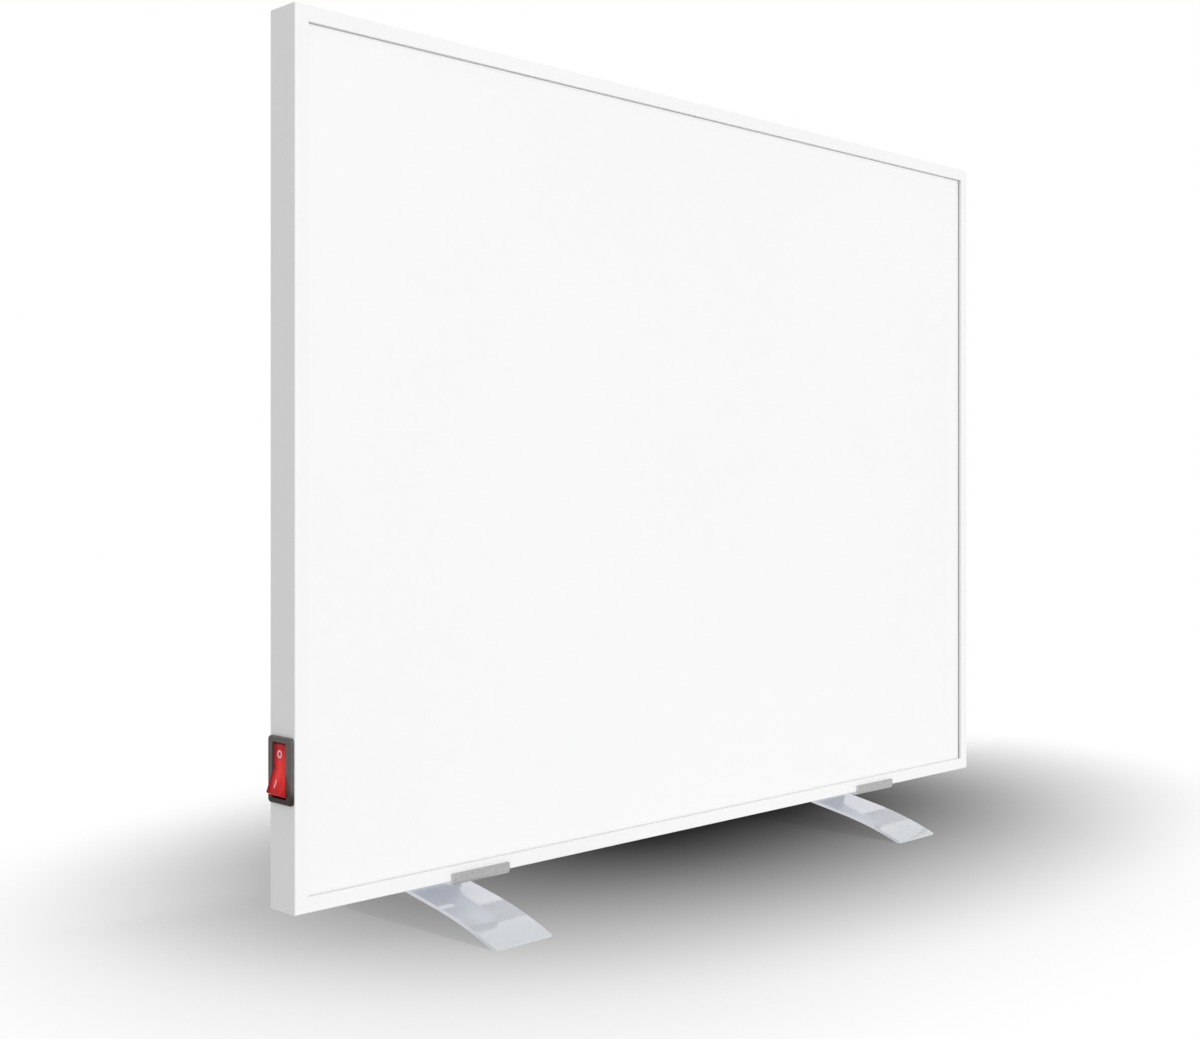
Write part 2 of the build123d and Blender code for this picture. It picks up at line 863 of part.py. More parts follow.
floor_x = switch_body_x - switch_wall
with BuildPart() as switch_housing:
    with BuildSketch(Plane(origin=(left_x, middle_y, switch_z), x_dir=to_back, z_dir=outward)):
        RectangleRounded(bezel_depth, bezel_length, bezel_corner)
    extrude(amount=bezel_thickness)
    fillet(switch_housing.faces().sort_by(Axis.X)[0].edges(), bezel_edge)
    middle_block(
        (left_x, switch_z - body_half_z), (switch_body_x, switch_z + body_half_z), body_half_y
    )
    for up in (1, -1):
        root_z = switch_z + up * body_half_z
        with BuildSketch(facing(middle_y)):
            with BuildLine():
                Polyline(
                    (left_x + wall + fit, root_z),
                    (left_x + wall + fit, root_z + up * catch_height),
                    (left_x + wall + catch_length, root_z),
                    close=True,
                )
            make_face()
        straddle(catch_width / 2)
    middle_block(
        (left_x - bezel_thickness - overrun, switch_z - cavity_half_z),
        (floor_x, switch_z + cavity_half_z),
        cavity_half_y,
        Mode.SUBTRACT,
    )
    with BuildSketch(pivot_plane):
        Circle(trunnion_radius + fit)
    straddle(cavity_half_y + trunnion_length, Mode.SUBTRACT)
    middle_block(
        (left_x + contact_pivot_inset - fit, switch_z - contact_seat - stop_size / 2),
        (floor_x, switch_z - contact_seat + stop_size / 2),
        contact_width / 2,
    )
    for z in blade_rows:
        middle_block(
            (floor_x - overrun, z - blade_thickness / 2 - fit),
            (switch_body_x + overrun, z + blade_thickness / 2 + fit),
            blade_width / 2 + fit,
            Mode.SUBTRACT,
        )
finish(switch_housing, "switch_housing")


# Blades of the switch, the middle one carrying the rocking contact
def blade(row, start_x):
    middle_block(
        (start_x, row - blade_thickness / 2), (blade_end_x, row + blade_thickness / 2), blade_width / 2
    )


contact_x = left_x + contact_pivot_inset
low_row, middle_row, high_row = blade_rows
with BuildPart() as switch_blades:
    blade(low_row, floor_x - anchor_depth)
    blade(middle_row, contact_x + fit)
    blade(high_row, floor_x - anchor_depth)
    middle_block(
        (floor_x - anchor_depth, switch_z + contact_seat - contact_pad),
        (floor_x - anchor_depth + blade_thickness, high_row),
        contact_width / 2,
    )
    with BuildSketch(Plane(origin=(contact_x, middle_y, switch_z + contact_seat), z_dir=(1, 0, 0))):
        Circle(contact_rivet_radius)
    extrude(amount=floor_x - anchor_depth - contact_x)
finish(switch_blades, "switch_blades")

# Rocking contact, a shallow V that lies flat on whichever end is down
contact_plane = Plane(origin=(contact_x, middle_y, switch_z), x_dir=outward, z_dir=to_back)
half_rise = contact_length / 2 * tan(radians(contact_tilt))
with BuildPart() as contact_bar:
    with BuildSketch(tilted(contact_plane, -contact_tilt)):
        with BuildLine():
            Polyline(
                (contact_lift, 0),
                (contact_lift + half_rise, contact_length / 2),
                (contact_lift + half_rise + contact_thickness, contact_length / 2),
                (contact_lift + contact_thickness, 0),
                (contact_lift + half_rise + contact_thickness, -contact_length / 2),
                (contact_lift + half_rise, -contact_length / 2),
                close=True,
            )
        make_face()
    straddle(contact_width / 2)
finish(contact_bar, "contact_bar")

# Neon lamp under the rocker, on two wires from the housing's floor
lamp_z = switch_z - lamp_drop
with BuildPart() as switch_lamp:
    with BuildSketch(facing(middle_y)):
        with Locations((left_x + lamp_inset, lamp_z)):
            Circle(lamp_radius)
    straddle(lamp_length / 2)
    fillet(switch_lamp.edges(), lamp_radius - lamp_wire_inset)
    with BuildSketch(Plane(origin=(left_x + lamp_inset, middle_y, lamp_z), z_dir=(1, 0, 0))):
        for side in (1, -1):
            with Locations(Location((0, side * (lamp_length / 2 - lamp_radius)))):
                Circle(lamp_wire_radius)
    extrude(amount=floor_x - left_x - lamp_inset)
finish(switch_lamp, "switch_lamp")


# Rocker, two facets that meet in a valley above its pivot, with ends round the pivot
def rocker_section(inset, base):
    """The face drawn inside the facets and the ends by the inset, down to the base."""
    slope = tan(radians(rocker_tilt))
    valley = rocker_valley - inset
    radius = rocker_radius - inset
    half_b = valley * slope
    tip = (sqrt(half_b**2 - (1 + slope**2) * (valley**2 - radius**2)) - half_b) / (1 + slope**2)
    crest = valley + tip * slope
    foot = sqrt(radius**2 - base**2)
    bow = hypot(crest + base, tip + foot)
    bulge = (radius * (crest + base) / bow, radius * (tip + foot) / bow)
    with BuildSketch(rocker_plane) as section:
        with BuildLine():
            Polyline((crest, -tip), (valley, 0), (crest, tip))
            ThreePointArc((crest, tip), bulge, (base, foot))
            Line((base, foot), (base, -foot))
            ThreePointArc((base, -foot), (bulge[0], -bulge[1]), (crest, -tip))
        make_face()
    return section.sketch


facet_x = rocker_valley + mark_place * tan(radians(rocker_tilt))
mark_planes = [
    Plane(
        origin=rocker_plane.from_local_coords(Vector(facet_x, up * mark_place)),
        x_dir=to_back,
        z_dir=rocker_plane.x_dir.rotate(Axis((0, 0, 0), to_back), -up * rocker_tilt),
    )
    for up in (1, -1)
]


def draw_marks(depth, mode=Mode.ADD):
    """A ring on the upper facet and a bar on the lower one, sunk to the depth."""
    with BuildSketch(mark_planes[0]) as ring:
        Circle(mark_ring_radius)
        Circle(mark_ring_radius - mark_width, mode=Mode.SUBTRACT)
    extrude(ring.sketch, amount=-depth, mode=mode)
    with BuildSketch(mark_planes[1]) as bar:
        Rectangle(mark_width, mark_bar_length)
    extrude(bar.sketch, amount=-depth, mode=mode)


out_axis = Axis(rocker_plane.origin, rocker_plane.x_dir)
rocker_half = rocker_width / 2
ceiling = rocker_valley - rocker_wall
with BuildPart() as rocker:
    extrude(rocker_section(0, rocker_underside), amount=rocker_half, both=True)
    fillet(rocker.edges().filter_by(Axis.Y).sort_by(out_axis)[-2:], rocker_crest)
    for side in (0, -1):
        fillet(rocker.faces().sort_by(Axis.Y)[side].edges().sort_by(out_axis)[1:], rocker_edge)
    hollow = rocker_section(rocker_wall, -overrun)
    extrude(hollow, amount=rocker_half - rocker_side_wall, both=True, mode=Mode.SUBTRACT)
    with BuildSketch(rocker_plane):
        Circle(ear_radius)
        with Locations((ceiling / 2, 0)):
            Rectangle(ceiling, 2 * ear_radius)
    straddle(rocker_half)
    with BuildSketch(rocker_plane):
        Circle(ear_radius + overrun)
        with Locations((ceiling / 2, 0)):
            Rectangle(ceiling, 2 * (ear_radius + overrun))
    straddle(rocker_half - rocker_side_wall, Mode.SUBTRACT)
    with BuildSketch(rocker_plane):
        Circle(trunnion_radius)
    straddle(rocker_half + trunnion_length)
    with BuildSketch(rocker_plane):
        Circle(trunnion_radius)
    straddle(rocker_half - rocker_side_wall, Mode.SUBTRACT)
    boss_top = ceiling + rocker_wall / 2
    with BuildSketch(rocker_plane):
        with Locations(((boss_top - boss_reach) / 2, 0)):
            Rectangle(boss_top + boss_reach, boss_size)
    straddle(boss_size / 2)
    with BuildSketch(Plane(origin=rocker_plane.origin, z_dir=-rocker_plane.x_dir)):
        Circle(plunger_radius + fit)
    extrude(amount=boss_reach + overrun, mode=Mode.SUBTRACT)
    well_top = ceiling - spring_wire
    with BuildSketch(Plane(origin=rocker_plane.origin, z_dir=rocker_plane.x_dir)):
        Circle(plunger_radius + fit)
    extrude(amount=well_top, mode=Mode.SUBTRACT)
    draw_marks(mark_depth, Mode.SUBTRACT)
finish(rocker, "rocker")

with BuildPart() as rocker_marks:
    draw_marks(mark_depth)
finish(rocker_marks, "rocker_marks")

# Plunger and its spring inside the rocker's boss
inward_plane = Plane(origin=rocker_plane.origin, z_dir=-rocker_plane.x_dir)
plunger_start = plunger_reach - plunger_length
with BuildPart() as plunger:
    with BuildSketch(inward_plane.offset(plunger_start)):
        Circle(plunger_radius)
    extrude(amount=plunger_length)
    fillet(
        plunger.edges().filter_by(GeomType.CIRCLE).sort_by_distance(rocker_plane.origin)[-1],
        plunger_radius - spring_wire,
    )
finish(plunger, "plunger")

spring_start = plunger_start - spring_wire - fit
spring_end = -well_top + spring_wire + fit
spring_span = spring_start - spring_end
with BuildPart() as plunger_spring:
    with BuildLine() as coil:
        Helix(
            spring_span / spring_turns,
            spring_span,
            spring_radius,
            center=inward_plane.offset(spring_end).origin,
            direction=inward_plane.z_dir,
        )
    with BuildSketch(Plane(origin=coil.line @ 0, z_dir=coil.line % 0)):
        Circle(spring_wire)
    sweep(path=coil.line, is_frenet=True)
finish(plunger_spring, "plunger_spring")

# Feet. The leg strip passes under the panel, and the clip on it hooks round the bottom rail.
front_tip_y = front_y - front_reach
rear_tip_y = rear_y + rear_reach
hook_y = rear_y + hook_gap
riser_y = rear_y + riser_reach
knee = Vector(rear_y + knee_reach, knee_height)
along_leg = Vector(cos(radians(leg_slope)), sin(radians(leg_slope)))
leg_upward = Vector(0, -sin(radians(leg_slope)), cos(radians(leg_slope)))
seat_front = knee - along_leg * seat_length
flange_rise = 2 * strip / cos(radians(leg_slope))
flange_start = Vector(riser_y, knee.Y - (knee.X - riser_y) * tan(radians(leg_slope)) + flange_rise)
flange_end = flange_start + along_leg * flange_length


def foot_section(centre_x):
    """A sketch plane across the foot, with Y and Z as its axes."""
    return Plane(origin=(centre_x, 0, 0), x_dir=to_back, z_dir=(1, 0, 0))


def rivet_layer(centre_x, radius, start, stop, mode=Mode.ADD):
    """Round layers along the rivets, from one depth below the clip's flange to another."""
    middle = foot_section(centre_x).from_local_coords(knee - along_leg * rivet_from_knee)
    for side in (-1, 1):
        top = middle + leg_upward * 2 * strip + Vector(side * rivet_spacing / 2, 0, 0)
        with BuildSketch(Plane(origin=top, z_dir=-leg_upward).offset(start)) as layer:
            Circle(radius)
        extrude(layer.sketch, amount=stop - start, mode=mode)


def make_foot(side_name, centre_x):
    """Clip, leg strip and rivets of one foot."""
    section = foot_section(centre_x)
    hook_low_x = centre_x - hook_width / 2
    hook_high_x = centre_x + hook_width / 2
    with BuildPart() as clip:
        with BuildSketch(section):
            with BuildLine():
                FilletPolyline(
                    (front_y - foot_gap, bottom_z + tab_height),
                    (front_y - foot_gap, bottom_z),
                    (riser_y, bottom_z),
                    flange_start,
                    flange_end,
                    radius=[tab_bend, riser_bend + strip, riser_bend],
                )
                offset(amount=strip, side=Side.RIGHT, closed=True)
            make_face()
        extrude(amount=foot_width / 2, both=True)
        block(
            (hook_low_x, hook_y, bottom_z - strip),
            (hook_high_x, hook_y + strip, bottom_z + hook_height),
        )
        block(
            (hook_low_x - hook_window_side, hook_y + strip, bottom_z - 2 * strip),
            (hook_high_x + hook_window_side, hook_y + strip + hook_window, bottom_z + strip),
            Mode.SUBTRACT,
        )
        rivet_layer(centre_x, rivet_radius + fit, -overrun, strip + overrun, Mode.SUBTRACT)
    finish(clip, f"foot_{side_name}_clip")

    with BuildPart() as leg:
        with BuildSketch(section):
            with BuildLine():
                bent = FilletPolyline(
                    (rear_tip_y, tip_edge - strip), knee, seat_front, radius=knee_bend
                )
                TangentArc(bent @ 1, (front_tip_y, tip_edge - strip), tangent=bent % 1)
                offset(amount=strip, side=Side.RIGHT, closed=True)
            make_face()
        extrude(amount=foot_width / 2, both=True)
        ends = leg.faces().sort_by(Axis.Y)
        corners = ends[0].edges() + ends[-1].edges()
        fillet(corners.filter_by(lambda edge: edge.length < foot_width / 2), tip_corner)
        rivet_layer(centre_x, rivet_radius + fit, strip - overrun, 2 * strip + overrun, Mode.SUBTRACT)
        block(
            (centre_x - foot_width, front_tip_y - foot_width, -foot_width),
            (centre_x + foot_width, rear_tip_y + foot_width, 0),
            Mode.SUBTRACT,
        )
    finish(leg, f"foot_{side_name}_leg")

    with BuildPart() as rivets:
        rivet_layer(centre_x, rivet_radius, 0, 2 * strip)
        rivet_layer(centre_x, rivet_head_radius, 2 * strip, 2 * strip + rivet_head)
        heads = rivets.edges().filter_by(GeomType.CIRCLE).group_by(Axis.Z)[0]
        fillet(heads, rivet_head / 2)
    finish(rivets, f"foot_{side_name}_rivets")


make_foot("left", left_x + foot_inset)
make_foot("right", right_x - foot_inset)
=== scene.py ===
import math

import bpy
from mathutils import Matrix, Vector


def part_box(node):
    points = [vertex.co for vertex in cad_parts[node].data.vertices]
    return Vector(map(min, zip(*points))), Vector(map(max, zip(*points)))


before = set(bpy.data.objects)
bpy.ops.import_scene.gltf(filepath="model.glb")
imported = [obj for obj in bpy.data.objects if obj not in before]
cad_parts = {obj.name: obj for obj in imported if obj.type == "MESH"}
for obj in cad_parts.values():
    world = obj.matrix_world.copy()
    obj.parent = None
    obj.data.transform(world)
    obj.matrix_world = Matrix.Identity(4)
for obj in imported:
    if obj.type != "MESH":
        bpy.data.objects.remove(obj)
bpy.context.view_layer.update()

# Places read from the frame, in metres
panel_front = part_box("frame_bottom")[0].y
rocker_low, rocker_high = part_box("rocker")
rocker_middle = (rocker_low + rocker_high) / 2

# Camera, at the panel's front left and a little below its middle
camera_place = (-0.7483, -0.7021, 0.2403)
camera_turn = math.radians(-44.66)
camera_lens = 48.16
sensor_width = 36
horizon_rise = -0.0256
nearest_seen = 0.01

# Studio light, a low key from the front and an even sky
key_direction = Vector((-0.045, 0.98, -0.16)).normalized()
key_strength = 1.22
key_spread = math.radians(2)
sky_strength = 0.68

# Noise values that a change of gloss or tone runs between
grain_band = (0.3, 0.7)
patch_band = (0.35, 0.65)
streak_band = (0.25, 0.75)

# Steel of the feet: the legs, with painted shade darker towards their front tips, and the brushed tabs of
# the clips
leg_metal = 0.35
leg_light = (0.84, 0.86, 0.90)
leg_dark = (0.81, 0.83, 0.88)
leg_roughness = (0.09, 0.13)
leg_grain = {"Grain_Scale": 2400.0, "Patch_Scale": 26.0}
# Painted shade on the front tips of the legs
tip_painted_shade = (0.66, 0.685, 0.71)
tip_fade = 0.03
tab_light = (0.47, 0.47, 0.47)
tab_dark = (0.36, 0.36, 0.36)
tab_roughness = (0.16, 0.26)
tab_fade = 0.001
tab_end_share = 0.5
tab_face = 0.8
clip_roughness = 0.12

# Switch housing, with painted shade darkest at its lower end and painted light at its top, each tone plain
# and worn
housing_shaded_foot = ((0.026, 0.018, 0.016), (0.031, 0.022, 0.019))
housing_lit_top = ((0.122, 0.108, 0.102), (0.136, 0.122, 0.116))
housing_roughness = (0.26, 0.36)
housing_shade = (-0.001, 0.007)

# Rocker: painted light, lit red in its middle, and painted shade, deeper red towards its edges, most of all
# the back edge
rocker_painted_shade = ((0.21, 0.004, 0.008), (0.26, 0.006, 0.011))
rocker_painted_light = ((0.94, 0.048, 0.048), (0.98, 0.062, 0.060))
rocker_roughness = (0.13, 0.20)
rocker_rim = 0.001
rocker_fade = 0.012
lit_front = 0.72
lit_top = 0.35
lit_foot = 0.4
# Strength of the rocker's painted glow: its colour is also its emission, though it is no lamp
painted_glow_strength = 0.12
red_depth = 0.004
red_spread = (1.0, 0.12, 0.10)
red_share = 0.35

# Glass of the switch's lamp
glass_tone = (0.95, 0.62, 0.45, 1.0)
glass_clear = 0.8
glass_roughness = (0.04, 0.10)

# Darker tone of a lead's sleeve, as a share of its colour
lead_shade = 0.8

# Studio floor, white, with two soft painted shades round the feet and behind them
floor_half = 6.0
floor_tone = 0.80
floor_roughness = 0.9
open_light = 0.40
deep_shade = {"left": 0.07, "right": 0.20, "back": 0.094, "squash": 1.31, "reach": 0.46, "tone": 0.012}
wide_shade = {"left": -0.14, "right": 0.08, "back": 0.021, "squash": 0.98, "reach": 0.36, "tone": 0.62}

# Share of the floor's white that cast shadows take near the feet, and where along Y they fade out
shadow_share = 0.85
shadow_open = 0.7
shadow_end = 0.09
shadow_fade = 0.05


def add_node(tree, kind, **settings):
    """A shader node with its properties set by name."""
    node = tree.nodes.new(kind)
    for key, value in settings.items():
        setattr(node, key, value)
    return node


def join(tree, source, target):
    tree.links.new(source, target)


def object_axes(tree):
    """X, Y and Z of a point in the object's own frame."""
    split = add_node(tree, "ShaderNodeSeparateXYZ")
    join(tree, add_node(tree, "ShaderNodeTexCoord").outputs["Object"], split.inputs[0])
    return split.outputs


def show_mixed(tree, share, first, second, output):
    """Send a mix of two surfaces to the output."""
    mixed = add_node(tree, "ShaderNodeMixShader")
    join(tree, share, mixed.inputs[0])
    join(tree, first.outputs[0], mixed.inputs[1])
    join(tree, second.outputs[0], mixed.inputs[2])
    join(tree, mixed.outputs[0], output.inputs["Surface"])


def calculate(tree, operation, first, second=None, third=None):
    """A Math node; each input is a number or a socket. Returns its output."""
    node = add_node(tree, "ShaderNodeMath", operation=operation)
    for place, value in enumerate((first, second, third)):
        if value is None:
            continue
        if isinstance(value, (int, float)):
            node.inputs[place].default_value = value
        else:
            join(tree, value, node.inputs[place])
    return node.outputs[0]


def ramp_between(tree, value, start, stop, low=0.0, high=1.0):
    """A smooth step of the value from low at start to high at stop."""
    node = add_node(tree, "ShaderNodeMapRange", interpolation_type="SMOOTHSTEP")
    join(tree, value, node.inputs["Value"])
    for name, number in (("From Min", start), ("From Max", stop), ("To Min", low), ("To Max", high)):
        node.inputs[name].default_value = number
    return node.outputs["Result"]


def blend_colours(tree, share, first, second):
    """A Mix node for colours; the share and the colours are sockets or values."""
    node = add_node(tree, "ShaderNodeMix", data_type="RGBA")
    # This node takes its share at input 0 and its colours at 6 and 7, and gives the mixed colour at output 2
    for socket, value in ((node.inputs[0], share), (node.inputs[6], first), (node.inputs[7], second)):
        if isinstance(value, bpy.types.NodeSocket):
            join(tree, value, socket)
        elif isinstance(value, (int, float)):
            socket.default_value = value
        else:
            socket.default_value = (*value, 1.0)
    return node.outputs[2]


# Shared surface effects
def start_group(name, inputs, outputs):
    """An empty node group with float inputs (name: default) and float outputs."""
    group = bpy.data.node_groups.new(name, "ShaderNodeTree")
    for label, value in inputs.items():
        socket = group.interface.new_socket(label, in_out="INPUT", socket_type="NodeSocketFloat")
        socket.default_value = value
    for label in outputs:
        group.interface.new_socket(label, in_out="OUTPUT", socket_type="NodeSocketFloat")
    return group, group.nodes.new("NodeGroupInput"), group.nodes.new("NodeGroupOutput")


def make_grain_group():
    """Fine even grain, as of powder coat or moulded plastic, with slow patches under it."""
    group, inside, outside = start_group(
        "fine_grain", {"Grain Scale": 900.0, "Patch Scale": 6.0}, ("Grain", "Patches")
    )
    place = add_node(group, "ShaderNodeTexCoord").outputs["Object"]
    grain = add_node(group, "ShaderNodeTexNoise")
    patches = add_node(group, "ShaderNodeTexNoise")
    for noise, scale, detail in ((grain, "Grain Scale", 3.0), (patches, "Patch Scale", 2.0)):
        join(group, place, noise.inputs["Vector"])
        join(group, inside.outputs[scale], noise.inputs["Scale"])
        noise.inputs["Detail"].default_value = detail
    join(group, grain.outputs["Fac"], outside.inputs["Grain"])
    join(group, ramp_between(group, patches.outputs["Fac"], *patch_band), outside.inputs["Patches"])
    return group


def make_brush_group():
    """Streaks of a brushed metal, as close across X and along Y and Z as the two inputs say."""
    group, inside, outside = start_group("brushed_streaks", {"Across": 1500.0, "Along": 45.0}, ("Streaks",))
    place = add_node(group, "ShaderNodeTexCoord").outputs["Object"]
    stretch = add_node(group, "ShaderNodeCombineXYZ")
    join(group, inside.outputs["Across"], stretch.inputs["X"])
    join(group, inside.outputs["Along"], stretch.inputs["Y"])
    join(group, inside.outputs["Along"], stretch.inputs["Z"])
    scaled = add_node(group, "ShaderNodeVectorMath", operation="MULTIPLY")
    join(group, place, scaled.inputs[0])
    join(group, stretch.outputs[0], scaled.inputs[1])
    streaks = add_node(group, "ShaderNodeTexNoise")
    streaks.inputs["Scale"].default_value = 1.0
    streaks.inputs["Detail"].default_value = 4.0
    join(group, scaled.outputs[0], streaks.inputs["Vector"])
    join(group, streaks.outputs["Fac"], outside.inputs["Streaks"])
    return group


grain_group = make_grain_group()
brush_group = make_brush_group()


def use_group(tree, group, **values):
    """A group in a material, with its own values."""
    node = add_node(tree, "ShaderNodeGroup", node_tree=group)
    for label, value in values.items():
        node.inputs[label.replace("_", " ")].default_value = value
    return node


def start_material(name, metallic=0.0, specular=0.5):
    """A material with a plain Principled shader. Returns the material, its tree and its shader."""
    material = bpy.data.materials.new(name)
    material.use_nodes = True
    tree = material.node_tree
    shader = tree.nodes["Principled BSDF"]
    shader.inputs["Metallic"].default_value = metallic
    shader.inputs["Specular IOR Level"].default_value = specular
    return material, tree, shader


def set_roughness(tree, shader, noise, low, high):
    """Roughness between two values, by a noise."""
    join(tree, ramp_between(tree, noise, *grain_band, low, high), shader.inputs["Roughness"])


def add_bump(tree, shader, height, depth):
    """A bump of the given depth in metres from a height socket."""
    bump = add_node(tree, "ShaderNodeBump")
    bump.inputs["Distance"].default_value = depth
    join(tree, height, bump.inputs["Height"])
    join(tree, bump.outputs["Normal"], shader.inputs["Normal"])


def grained(name, light, dark, roughness, change, grain, patches, depth, specular=0.5):
    """A coated or moulded surface: two close tones in slow patches, fine grain in gloss and bump."""
    material, tree, shader = start_material(name, specular=specular)
    effect = use_group(tree, grain_group, Grain_Scale=grain, Patch_Scale=patches)
    join(tree, blend_colours(tree, effect.outputs["Patches"], dark, light), shader.inputs["Base Color"])
    set_roughness(tree, shader, effect.outputs["Grain"], roughness - change, roughness + change)
    add_bump(tree, shader, effect.outputs["Grain"], depth)
    return material


def brushed(name, light, dark, roughness, change, across, along, depth):
    """A drawn or brushed metal: streaks in tone, gloss and bump."""
    material, tree, shader = start_material(name, metallic=1.0)
    effect = use_group(tree, brush_group, Across=across, Along=along)
    tone = ramp_between(tree, effect.outputs["Streaks"], *grain_band)
    join(tree, blend_colours(tree, tone, dark, light), shader.inputs["Base Color"])
    gloss = ramp_between(
        tree, effect.outputs["Streaks"], *streak_band, roughness - change, roughness + change
    )
    join(tree, gloss, shader.inputs["Roughness"])
    add_bump(tree, shader, effect.outputs["Streaks"], depth)
    return material


def cover_node(node, material):
    """Give a CAD node its finish."""
    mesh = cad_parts[node].data
    mesh.materials.clear()
    mesh.materials.append(material)


# White powder coat on the frame and the back, matt enamel on the radiating sheet
def finish_frame_and_cover():
    coat = grained(
        "white_powder_coat", light=(0.900, 0.900, 0.898), dark=(0.890, 0.890, 0.889),
        roughness=0.42, change=0.06, grain=2600, patches=9, depth=0.00002,
    )
    enamel = grained(
        "white_sheet_enamel", light=(0.915, 0.915, 0.915), dark=(0.909, 0.909, 0.910),
        roughness=0.62, change=0.05, grain=3400, patches=3, depth=0.00001, specular=0.35,
    )
    cover = grained(
        "white_cover_coat", light=(0.90, 0.90, 0.895), dark=(0.875, 0.875, 0.870),
        roughness=0.50, change=0.07, grain=2000, patches=7, depth=0.00005,
    )
    for node in ("frame_bottom", "frame_top", "frame_left", "frame_right"):
        cover_node(node, coat)
    cover_node("front_sheet", enamel)
    cover_node("back_cover", cover)


def finish_seals():
    seal = grained(
        "grey_seal", light=(0.50, 0.50, 0.51), dark=(0.46, 0.46, 0.47),
        roughness=0.7, change=0.08, grain=1500, patches=20, depth=0.00005,
    )
    for side in ("bottom", "top", "left", "right"):
        cover_node(f"seal_{side}", seal)
    cover_node("gland_seal", grained(
        "black_rubber", light=(0.03, 0.03, 0.032), dark=(0.02, 0.02, 0.021),
        roughness=0.65, change=0.1, grain=1500, patches=30, depth=0.00006,
    ))


# Feet: satin leg strips, and clips that are brushed on the tab in front of the rail
def make_leg_steel():
    material, tree, shader = start_material("satin_leg_steel", metallic=leg_metal)
    effect = use_group(tree, grain_group, **leg_grain)
    polish = blend_colours(tree, effect.outputs["Patches"], leg_dark, leg_light)
    # Painted shade: the legs' colour darkens towards their front tips
    tip_shade_mask = ramp_between(tree, object_axes(tree)["Y"], panel_front, panel_front - tip_fade)
    join(tree, blend_colours(tree, tip_shade_mask, polish, tip_painted_shade), shader.inputs["Base Color"])
    set_roughness(tree, shader, effect.outputs["Grain"], *leg_roughness)
    return material


def make_clip_steel():
    """Brushed on the tab, less so on the tab's ends, and as plain as the leg behind the panel's front."""
    material, tree, shader = start_material("brushed_clip_steel", metallic=leg_metal)
    streaks = use_group(tree, brush_group, Across=900.0, Along=1900.0)
    effect = use_group(tree, grain_group, **leg_grain)
    tab = ramp_between(tree, object_axes(tree)["Y"], panel_front + tab_fade, panel_front)
    facing = add_node(tree, "ShaderNodeSeparateXYZ")
    join(tree, add_node(tree, "ShaderNodeNewGeometry").outputs["Normal"], facing.inputs[0])
    inward = calculate(tree, "SUBTRACT", 1.0, calculate(tree, "ABSOLUTE", facing.outputs["X"]))
    face = ramp_between(tree, inward, 0.0, tab_face, tab_end_share, 1.0)
    tab = calculate(tree, "MULTIPLY", tab, face)
    polish = blend_colours(tree, effect.outputs["Patches"], leg_dark, leg_light)
    tone = ramp_between(tree, streaks.outputs["Streaks"], *grain_band)
    brushing = blend_colours(tree, tone, tab_dark, tab_light)
    join(tree, blend_colours(tree, tab, polish, brushing), shader.inputs["Base Color"])
    gloss = ramp_between(tree, streaks.outputs["Streaks"], *grain_band, *tab_roughness)
    join(tree, calculate(tree, "MULTIPLY_ADD", tab, gloss, clip_roughness), shader.inputs["Roughness"])
    return material


def finish_feet():
    leg = make_leg_steel()
    clip = make_clip_steel()
    rivet = brushed(
        "rivet_steel", light=(0.66, 0.66, 0.67), dark=(0.50, 0.50, 0.51),
        roughness=0.3, change=0.08, across=900, along=200, depth=0.00002,
    )
    for side in ("left", "right"):
        cover_node(f"foot_{side}_leg", leg)
        cover_node(f"foot_{side}_clip", clip)
        cover_node(f"foot_{side}_rivets", rivet)


# Switch: dark housing with painted shade at its lower end, red rocker with painted light, shade and glow,
# pinkish printed marks, and what is inside
def finish_housing():
    material, tree, shader = start_material("black_switch_moulding", specular=0.16)
    effect = use_group(tree, grain_group, Grain_Scale=2200.0, Patch_Scale=60.0)
    shade_start, shade_stop = housing_shade
    # Painted shade: the housing's tone darkens towards its lower end and lightens towards its top
    height = ramp_between(
        tree, object_axes(tree)["Z"], rocker_low.z + shade_start, rocker_low.z + shade_stop
    )
    plain, worn = (
        blend_colours(tree, height, foot, top) for foot, top in zip(housing_shaded_foot, housing_lit_top)
    )
    join(tree, blend_colours(tree, effect.outputs["Patches"], plain, worn), shader.inputs["Base Color"])
    set_roughness(tree, shader, effect.outputs["Grain"], *housing_roughness)
    add_bump(tree, shader, effect.outputs["Grain"], depth=0.00002)
    cover_node("switch_housing", material)


